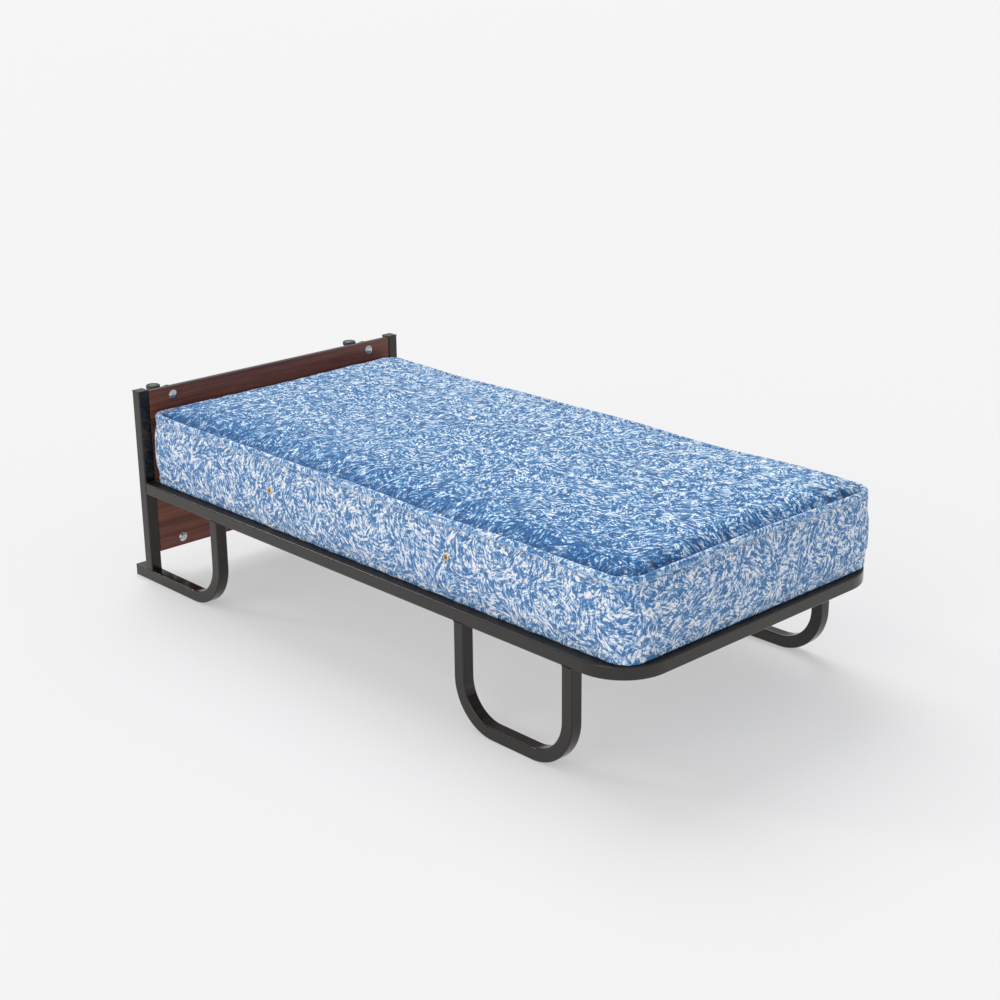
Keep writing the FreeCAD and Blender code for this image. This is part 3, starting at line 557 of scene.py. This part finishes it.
def puff_up(thing, still):
    """Cloth simulation: slack fabric is blown out against its seams, a little way."""
    rest = vertex_places(thing.data)
    group = thing.vertex_groups.new(name="still")
    group.add(still, 1.0, "REPLACE")
    cloth = thing.modifiers.new("cloth", "CLOTH")
    settings = cloth.settings
    settings.quality = 6
    settings.mass = 0.12
    settings.tension_stiffness = 12.0
    settings.compression_stiffness = 12.0
    settings.shear_stiffness = 5.0
    settings.bending_stiffness = 0.35
    settings.vertex_group_mass = "still"
    settings.shrink_min = -SLACK
    settings.use_pressure = True
    settings.uniform_pressure_force = PRESSURE
    settings.effector_weights.gravity = 0.0
    cloth.collision_settings.use_collision = False
    cloth.point_cache.frame_start = 1
    cloth.point_cache.frame_end = CLOTH_FRAMES
    scene = bpy.context.scene
    for number in range(1, CLOTH_FRAMES + 1):
        scene.frame_set(number)
        bpy.context.view_layer.update()
    evaluated = thing.evaluated_get(bpy.context.evaluated_depsgraph_get())
    moved = vertex_places(evaluated.data)
    thing.modifiers.remove(cloth)
    scene.frame_set(1)
    shift = moved - rest
    far = np.linalg.norm(shift, axis=1)
    cap = np.where(rest[:, 2] > SEAM_Z, TOP_CAP, SIDE_CAP)
    cap = np.where(rest[:, 1] > MIDDLE_Y + HALF_Y - HEAD_CORNER, HEAD_CAP, cap)
    held = cap * np.tanh(far / cap) / np.maximum(far, 1e-9)
    print(f"cloth moved up to {far.max() * 1000:.1f} mm, mean {far.mean() * 1000:.1f} mm")
    thing.data.vertices.foreach_set("co", (rest + shift * held[:, None]).ravel())
    thing.data.update()


BORDER_PRINT_OFFSET = 3.0
SLACK = 0.022
PRESSURE = 2.0
CLOTH_FRAMES = 20
TOP_CAP = 0.008
SIDE_CAP = 0.008
HEAD_CAP = 0.005


def apply_subdivision(thing):
    smoother = thing.modifiers.new("smoother", "SUBSURF")
    smoother.levels = 1
    smoother.render_levels = 1
    graph = bpy.context.evaluated_depsgraph_get()
    finer = bpy.data.meshes.new_from_object(thing.evaluated_get(graph), depsgraph=graph)
    old = thing.data
    thing.modifiers.clear()
    thing.data = finer
    finer.name = thing.name
    bpy.data.meshes.remove(old)


def runs_round_rim(x, y):
    """How far round the mattress each point is, from the middle of its head end, and the whole way."""
    points, outward, lengths = perimeter(0.0, 0.004)
    tree = KDTree(len(points))
    for number, point in enumerate(points):
        tree.insert((point.x, point.y, 0.0), number)
    tree.balance()
    whole_way = lengths[-1] + (points[0] - points[-1]).length
    start = lengths[tree.find((0.0, MIDDLE_Y + HALF_Y, 0.0))[1]]
    runs = []
    for place in zip(x, y):
        nearest = tree.find((*place, 0.0))[1]
        forwards = Vector((-outward[nearest].y, outward[nearest].x))
        beyond = (Vector(place) - points[nearest]).dot(forwards)
        runs.append((lengths[nearest] + beyond - start) % whole_way)
    return np.array(runs), whole_way


def cover_uvs(thing):
    """Flat coordinates in metres for the print, and distance along and from the upper seam."""
    mesh = thing.data
    places = vertex_places(mesh)
    x, y, z = places.T
    across = HALF_X - np.abs(x)
    along = HALF_Y - np.abs(y - MIDDLE_Y)
    round_the_edge = np.where(across < along, np.sign(x) * (y - MIDDLE_Y), np.sign(MIDDLE_Y - y) * x)
    from_seam = np.maximum(np.minimum(across, along) - SEAM_INSET, 0.0)
    set_uv(mesh, "fabric", np.column_stack([x, y]))
    set_uv(mesh, "seam", np.column_stack([round_the_edge, np.where(z > SEAM_Z - 0.002, from_seam, 1.0)]))
    runs, whole_way = runs_round_rim(x, y)
    layer = mesh.uv_layers["fabric"].data
    for polygon in mesh.polygons:
        if polygon.material_index == 0:
            continue
        numbers = [mesh.loops[corner].vertex_index for corner in polygon.loop_indices]
        closing = np.ptp(runs[numbers]) > whole_way / 2
        for corner, number in zip(polygon.loop_indices, numbers):
            run = runs[number]
            if closing and run < whole_way / 2:
                run += whole_way
            layer[corner].uv = (run, z[number] + BORDER_PRINT_OFFSET)


# ---------------------------------------------------------------- sewn edges

def perimeter(inset, spacing):
    """Points, outward directions and running lengths round the mattress, corners included."""
    half_x = HALF_X - inset
    half_y = HALF_Y - inset
    corners = ((1, -1, -90), (1, 1, 0), (-1, 1, 90), (-1, -1, 180))
    points = []
    outward = []
    for number, (sx, sy, start) in enumerate(corners):
        radius = (FOOT_CORNER if sy < 0 else HEAD_CORNER) - inset
        middle = Vector((sx * (half_x - radius), sy * (half_y - radius) + MIDDLE_Y))
        arc_steps = max(6, int(radius * math.pi / 2 / spacing))
        for step in range(arc_steps + 1):
            angle = math.radians(start + 90 * step / arc_steps)
            direction = Vector((math.cos(angle), math.sin(angle)))
            points.append(middle + direction * radius)
            outward.append(direction)
        next_x, next_y, next_start = corners[(number + 1) % 4]
        next_radius = (FOOT_CORNER if next_y < 0 else HEAD_CORNER) - inset
        following = Vector((next_x * (half_x - next_radius), next_y * (half_y - next_radius) + MIDDLE_Y))
        angle = math.radians(next_start)
        target = following + Vector((math.cos(angle), math.sin(angle))) * next_radius
        last = points[-1].copy()
        steps = int((target - last).length / spacing)
        for step in range(1, steps):
            points.append(last.lerp(target, step / steps))
            outward.append(outward[-1])
    lengths = [0.0]
    for first, second in zip(points, points[1:]):
        lengths.append(lengths[-1] + (second - first).length)
    return points, outward, lengths


def sweep(name, section, material, spacing=0.006, pinch=0.0):
    """A closed section of (outset, height) pairs, carried round the mattress's outline."""
    points, outward, lengths = perimeter(0.0, spacing)
    centre = np.mean(section, axis=0)
    around = [0.0]
    closed = [*section, section[0]]
    for (a, b), (c, d) in zip(closed, closed[1:]):
        around.append(around[-1] + math.hypot(c - a, d - b))
    vertices = []
    fabric = []
    for point, direction, length in zip(points, outward, lengths):
        ripple = 1 + pinch * (math.sin(length * 411.0) + 0.7 * math.sin(length * 733.0 + 1.0))
        for (outset, height), run in zip(section, around):
            away = centre[0] + (outset - centre[0]) * ripple
            up = centre[1] + (height - centre[1]) * ripple
            vertices.append((point.x + direction.x * away, point.y + direction.y * away, up))
            fabric.append((length * 0.8 + run * 0.6, run * 0.8 - length * 0.6))
    count = len(section)
    total = len(points)
    faces = []
    for k in range(total):
        after = (k + 1) % total
        for s in range(count):
            t = (s + 1) % count
            faces.append((k * count + s, after * count + s, after * count + t, k * count + t))
    thing = new_object(name, settle(vertices), faces, [material])
    set_uv(thing.data, "fabric", fabric)
    return thing


def oval(outset, height, half_width, half_height, sides=14, squareness=0.8):
    """An oval section, a little squared."""
    section = []
    for side in range(sides):
        angle = 2 * math.pi * side / sides
        c = math.copysign(abs(math.cos(angle)) ** squareness, math.cos(angle))
        s = math.copysign(abs(math.sin(angle)) ** squareness, math.sin(angle))
        section.append((outset + half_width * c, height + half_height * s))
    return section


def hem_section():
    """A thin band that follows the cover's lower edge from its underside up its side."""
    outer = []
    for step in range(5):
        angle = math.pi / 2 * step / 4
        outer.append((-HEM_ROUND + (HEM_ROUND + 0.0012) * math.sin(angle),
                      COVER_LOW.z + HEM_ROUND - (HEM_ROUND + 0.0006) * math.cos(angle)))
    outer.append((0.0012, COVER_LOW.z + HEM_HEIGHT - 0.0012))
    outer.append((0.0006, COVER_LOW.z + HEM_HEIGHT - 0.0002))
    outer.append((-0.0012, COVER_LOW.z + HEM_HEIGHT))
    inner = [(-0.004, COVER_LOW.z + HEM_HEIGHT - 0.001), (-0.004, COVER_LOW.z + HEM_ROUND),
             (-HEM_ROUND, COVER_LOW.z + 0.004)]
    return outer + inner


# how far outside the mattress a search for its surface starts
RAY_START = 0.05


def surface_tree(thing):
    mesh = thing.data
    places = [v.co for v in mesh.vertices]
    return BVHTree.FromPolygons(places, [tuple(p.vertices) for p in mesh.polygons])


def surface_from(trees, start, direction):
    """The nearest place that a ray meets, and the outward normal there."""
    best = None
    for tree in trees:
        place, normal, _, distance = tree.ray_cast(start, direction)
        if place is not None and (best is None or distance < best[2]):
            best = (place, normal, distance)
    place, normal, _ = best
    return place, normal if normal.dot(direction) < 0 else -normal


def stitches(name, height, material, trees, pitch=0.0065, length=0.0052, thick=0.0009):
    """A row of short stitches round the mattress, each lying on the fabric."""
    points, outward, lengths = perimeter(0.0, 0.002)
    runs = np.array(lengths)
    vertices = []
    faces = []
    shape = ((-1.0, 0.25), (-0.7, 0.85), (0.0, 1.0), (0.7, 0.85), (1.0, 0.25))
    sides = 6
    for number in range(int(runs[-1] / pitch)):
        k = int(np.searchsorted(runs, number * pitch))
        direction = Vector((outward[k].x, outward[k].y, 0.0))
        level = settle([(points[k].x, points[k].y, height)])[0][2]
        start = Vector((points[k].x, points[k].y, level)) + direction * RAY_START
        place, normal = surface_from(trees, start, -direction)
        tangent = Vector((-direction.y, direction.x, 0.0))
        tangent = (tangent - normal * tangent.dot(normal)).normalized()
        side_way = normal.cross(tangent)
        first = len(vertices)
        for along, swell in shape:
            sunk = place + normal * (thick * (0.45 - 0.9 * along * along))
            for side in range(sides):
                angle = 2 * math.pi * side / sides
                ring = normal * math.sin(angle) + side_way * math.cos(angle)
                vertices.append(sunk + tangent * (along * length / 2) + ring * thick * swell)
        for ring in range(len(shape) - 1):
            for side in range(sides):
                a = first + ring * sides + side
                b = first + ring * sides + (side + 1) % sides
                faces.append((a, b, b + sides, a + sides))
        faces.append(tuple(first + side for side in reversed(range(sides))))
        faces.append(tuple(first + (len(shape) - 1) * sides + side for side in range(sides)))
    return new_object(name, vertices, faces, [material])


def lathe(profile, place, axis, sides=48):
    """Vertices and faces of a round shape: a closed outline of (radius, height) pairs, turned."""
    axis = axis.normalized()
    first = axis.orthogonal().normalized()
    second = axis.cross(first)
    vertices = []
    for radius, height in profile:
        for side in range(sides):
            angle = 2 * math.pi * side / sides
            flat = first * math.cos(angle) + second * math.sin(angle)
            vertices.append(place + flat * radius + axis * height)
    faces = []
    for ring in range(len(profile)):
        here = ring * sides
        beyond = (ring + 1) % len(profile) * sides
        for side in range(sides):
            after = (side + 1) % sides
            faces.append((beyond + side, beyond + after, here + after, here + side))
    return vertices, faces


def merged(name, pieces, material):
    """One object from several (vertices, faces) pairs."""
    vertices = []
    faces = []
    for some_vertices, some_faces in pieces:
        start = len(vertices)
        vertices += some_vertices
        faces += [tuple(i + start for i in face) for face in some_faces]
    return new_object(name, vertices, faces, [material])


def make_vents(brass, mesh_material, trees):
    """Brass eyelets pressed into the border, each with a disc of wire mesh inside."""
    low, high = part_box("mattress_vents")
    radius = (high.z - low.z) / 2
    height = (high.z + low.z) / 2
    ring = [(0.46, -0.2), (0.44, 0.05), (0.47, 0.13), (0.55, 0.185), (0.68, 0.205), (0.82, 0.175),
            (0.93, 0.10), (0.985, 0.02), (1.0, -0.10)]
    gauze_profile = [(0.0001, 0.0007), (radius * 0.25, 0.0006), (radius * 0.48, 0.0001)]
    rings = []
    discs = []
    for sign in (-1, 1):
        for y in (low.y + radius, high.y - radius):
            outward = Vector((sign, 0.0, 0.0))
            start = Vector((sign * (HALF_X + RAY_START), y, height))
            place, normal = surface_from(trees, start, -outward)
            rings.append(lathe([(r * radius, h * radius) for r, h in ring], place, normal))
            discs.append(lathe(gauze_profile, place, normal, sides=24))
    eyelets = merged("mattress_vent_eyelets", rings, brass)
    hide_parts("mattress_vents")
    merged("mattress_vent_gauze", discs, mesh_material)


# ---------------------------------------------------------------- weld beads

TUBE_CORNERS = ((1, 1), (-1, 1), (-1, -1), (1, -1))
STRAIGHT_STEPS = 14


def weld_bead(middle, normal, half_width, seed, radius=0.0016, corner=0.004):
    """A rippled fillet of weld round a square tube, where it meets another."""
    normal = normal.normalized()
    if abs(normal.z) > 0.5:
        first = Vector((1.0, 0.0, 0.0))
    else:
        first = Vector((0.0, 0.0, 1.0))
    second = normal.cross(first)
    path = []
    inner = half_width - corner
    for number, (a, b) in enumerate(TUBE_CORNERS):
        for step in range(4):
            angle = math.radians(90 * number + 30 * step)
            path.append((a * inner + corner * math.cos(angle), b * inner + corner * math.sin(angle)))
        after = TUBE_CORNERS[(number + 1) % 4]
        turn = math.radians(90 * (number + 1))
        target = (after[0] * inner + corner * math.cos(turn), after[1] * inner + corner * math.sin(turn))
        last = path[-1]
        for step in range(1, STRAIGHT_STEPS):
            path.append((last[0] + (target[0] - last[0]) * step / STRAIGHT_STEPS,
                         last[1] + (target[1] - last[1]) * step / STRAIGHT_STEPS))
    vertices = []
    sides = 6
    for number, (a, b) in enumerate(path):
        swell = radius * (1 + 0.22 * math.sin(number * 2.3 + seed) + 0.12 * math.sin(number * 5.1))
        centre = middle + first * a + second * b
        away = (first * a + second * b).normalized()
        for side in range(sides):
            angle = 2 * math.pi * side / sides
            vertices.append(centre + away * swell * math.cos(angle) + normal * swell * math.sin(angle))
    faces = []
    total = len(path)
    for k in range(total):
        after = (k + 1) % total
        for side in range(sides):
            t = (side + 1) % sides
            faces.append((after * sides + side, after * sides + t, k * sides + t, k * sides + side))
    return vertices, faces


def make_welds(material):
    """Beads where the legs and skids meet the rail, and where the posts stand on the skids."""
    beads = []
    up = Vector((0.0, 0.0, 1.0))
    for side in ("left", "right"):
        low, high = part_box(f"foot_leg_{side}")
        half = (high.x - low.x) / 2
        x = (high.x + low.x) / 2
        for y in (low.y + half, high.y - half):
            beads.append(weld_bead(Vector((x, y, high.z)), up, half, y * 7))
        low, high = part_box(f"head_skid_{side}")
        beads.append(weld_bead(Vector((x, low.y + half, high.z)), up, half, x))
        low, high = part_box(f"post_{side}")
        middle = (low.y + high.y) / 2
        beads.append(weld_bead(Vector((x, middle, low.z)), up, half, 2.0 + x))
        rail_low, rail_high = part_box("main_rail")
        rail_middle = (rail_low.z + rail_high.z) / 2
        beads.append(weld_bead(Vector((x, rail_high.y, rail_middle)), Vector((0, 1, 0)), half, 3.0 + x))
    thing = merged("frame_weld_beads", beads, material)


# ---------------------------------------------------------------- materials on the CAD nodes

enamel = paint()
finishes = {
    "frame_paint": enamel,
    "laminate": laminate(),
    "bolt_chrome": metal("bolt_chrome_plate", (0.80, 0.82, 0.85), 0.08),
    "castor_steel": metal("castor_zinc_plate", (0.42, 0.42, 0.41), 0.26, brushed=0.1),
    "castor_plastic": plastic("castor_black_plastic", (0.020, 0.020, 0.021), 0.34),
    "wheel_tread": plastic("castor_grey_rubber", (0.045, 0.043, 0.041), 0.50),
    "hub_cap": plastic("castor_hub_plastic", (0.075, 0.070, 0.062), 0.26),
    "cap_plastic": plastic("tube_cap_plastic", (0.016, 0.016, 0.017), 0.38),
    "slat_wood": slat_wood(),
    "holder_plastic": plastic("slat_holder_plastic", (0.022, 0.022, 0.024), 0.42),
    "mattress_filling": plastic("mattress_felt", (0.62, 0.60, 0.56), 0.85, grain=500.0),
    "vent_brass": metal("vent_brass_plate", (0.84, 0.64, 0.34), 0.16),
}
top_fabric = printed_fabric("printed_ticking_top", TOP_PALETTE)
border_fabric = printed_fabric("printed_ticking_border", SIDE_LIT_BORDER_PALETTE, seam_creases=False)
tape_fabric = printed_fabric("printed_ticking_tape", SIDE_LIT_TAPE_PALETTE, seam_creases=False)
finishes["mattress_fabric"] = border_fabric
for node in nodes.values():
    for slot in node.material_slots:
        slot.material = finishes[slot.material.name.split(".")[0]]

# ---------------------------------------------------------------- the mattress

cover, still_points = build_cover([top_fabric, border_fabric])
puff_up(cover, still_points)
apply_subdivision(cover)
cover_uvs(cover)
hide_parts("mattress_cover", "mattress_base_pad", "mattress_top_pad", "mattress_spring_pockets")

tape = sweep("mattress_roll_edge",
             oval(-TAPE_INSET, TAPE_Z, TAPE_HALF_WIDTH, TAPE_HALF_HEIGHT), tape_fabric, pinch=0.02)
hem = sweep("mattress_hem_band", hem_section(), tape_fabric)
thread_material = thread("beige_thread", (0.74, 0.68, 0.55))
trees = [surface_tree(thing) for thing in (cover, tape, hem)]
stitch_rows = [
    stitches("mattress_upper_stitches", TAPE_Z - TAPE_HALF_HEIGHT - 0.0015, thread_material, trees),
    stitches("mattress_hem_stitches", COVER_LOW.z + HEM_HEIGHT - 0.0022, thread_material, trees),
]
make_vents(finishes["vent_brass"], gauze(), trees[:1])
make_welds(enamel)

# ---------------------------------------------------------------- floor, light and camera

FLOOR_HALF = 40.0
FLOOR_Z = -0.0005
FLOOR_COLOUR = (0.47, 0.47, 0.475)
FLOOR_STAIN = (0.44, 0.44, 0.445)
FLOOR_GLOW = 0.395
floor_graph = Graph("pale_floor")
floor_tone = floor_graph.noise(floor_graph.place(), 0.8, detail=2.0)
floor_stain = floor_graph.ramp(floor_tone, 0.3, 0.7, 0.0, 0.05)
floor_colour = floor_graph.mix(floor_stain, FLOOR_COLOUR, FLOOR_STAIN)
floor_material = floor_graph.finish(floor_colour, 0.9, Specular_IOR_Level=0.1, Emission_Strength=FLOOR_GLOW)
floor_corners = [(x * FLOOR_HALF, y * FLOOR_HALF, FLOOR_Z) for x, y in ((-1, -1), (1, -1), (1, 1), (-1, 1))]
floor = new_object("floor", floor_corners, [(0, 1, 2, 3)], [floor_material], smooth=False, body=None)

SKY_COLOUR = (0.98, 0.985, 1.0)
SKY_STRENGTH = 0.58
world = bpy.data.worlds.new("studio")
bpy.context.scene.world = world
world.use_nodes = True
background = world.node_tree.nodes["Background"]
background.inputs["Color"].default_value = (*SKY_COLOUR, 1.0)
background.inputs["Strength"].default_value = SKY_STRENGTH


def sun_light(name, direction, strength, width, colour=(1.0, 1.0, 1.0)):
    """A distant soft light: direction points towards it, and width is its breadth in degrees."""
    light = bpy.data.lights.new(name, "SUN")
    light.energy = strength
    light.angle = math.radians(width)
    light.color = colour
    thing = bpy.data.objects.new(name, light)
    thing.rotation_euler = Vector(direction).to_track_quat("Z", "Y").to_euler()
    bpy.context.scene.collection.objects.link(thing)


sun_light("overhead", (0.25, 0.55, 0.80), 1.45, 42.0)
sun_light("side", (-0.90, -0.10, 0.42), 0.70, 40.0, (1.0, 0.985, 0.96))
sun_light("edge", (-0.38, 0.74, 0.55), 0.30, 9.0, (1.0, 0.94, 0.87))
bpy.context.scene.view_settings.view_transform = "Standard"

CAMERA_PLACE = Vector((-3.15554, -3.42807, 1.96782))
YAW = 0.75767
PITCH = 0.33176
ROLL = -0.01000
FOCAL_LENGTH = 63.617
SENSOR_WIDTH = 36.0
forward = Vector((math.sin(YAW) * math.cos(PITCH), math.cos(YAW) * math.cos(PITCH), -math.sin(PITCH)))
level_right = Vector((math.cos(YAW), -math.sin(YAW), 0.0))
level_up = level_right.cross(forward)
right = level_right * math.cos(ROLL) + level_up * math.sin(ROLL)
up = level_up * math.cos(ROLL) - level_right * math.sin(ROLL)
lens = bpy.data.cameras.new("photo_camera")
lens.lens = FOCAL_LENGTH
lens.sensor_width = SENSOR_WIDTH
lens.clip_end = 200.0
camera = bpy.data.objects.new("photo_camera", lens)
camera.matrix_world = Matrix.Translation(CAMERA_PLACE) @ Matrix((right, up, -forward)).transposed().to_4x4()
bpy.context.scene.collection.objects.link(camera)
bpy.context.scene.camera = camera
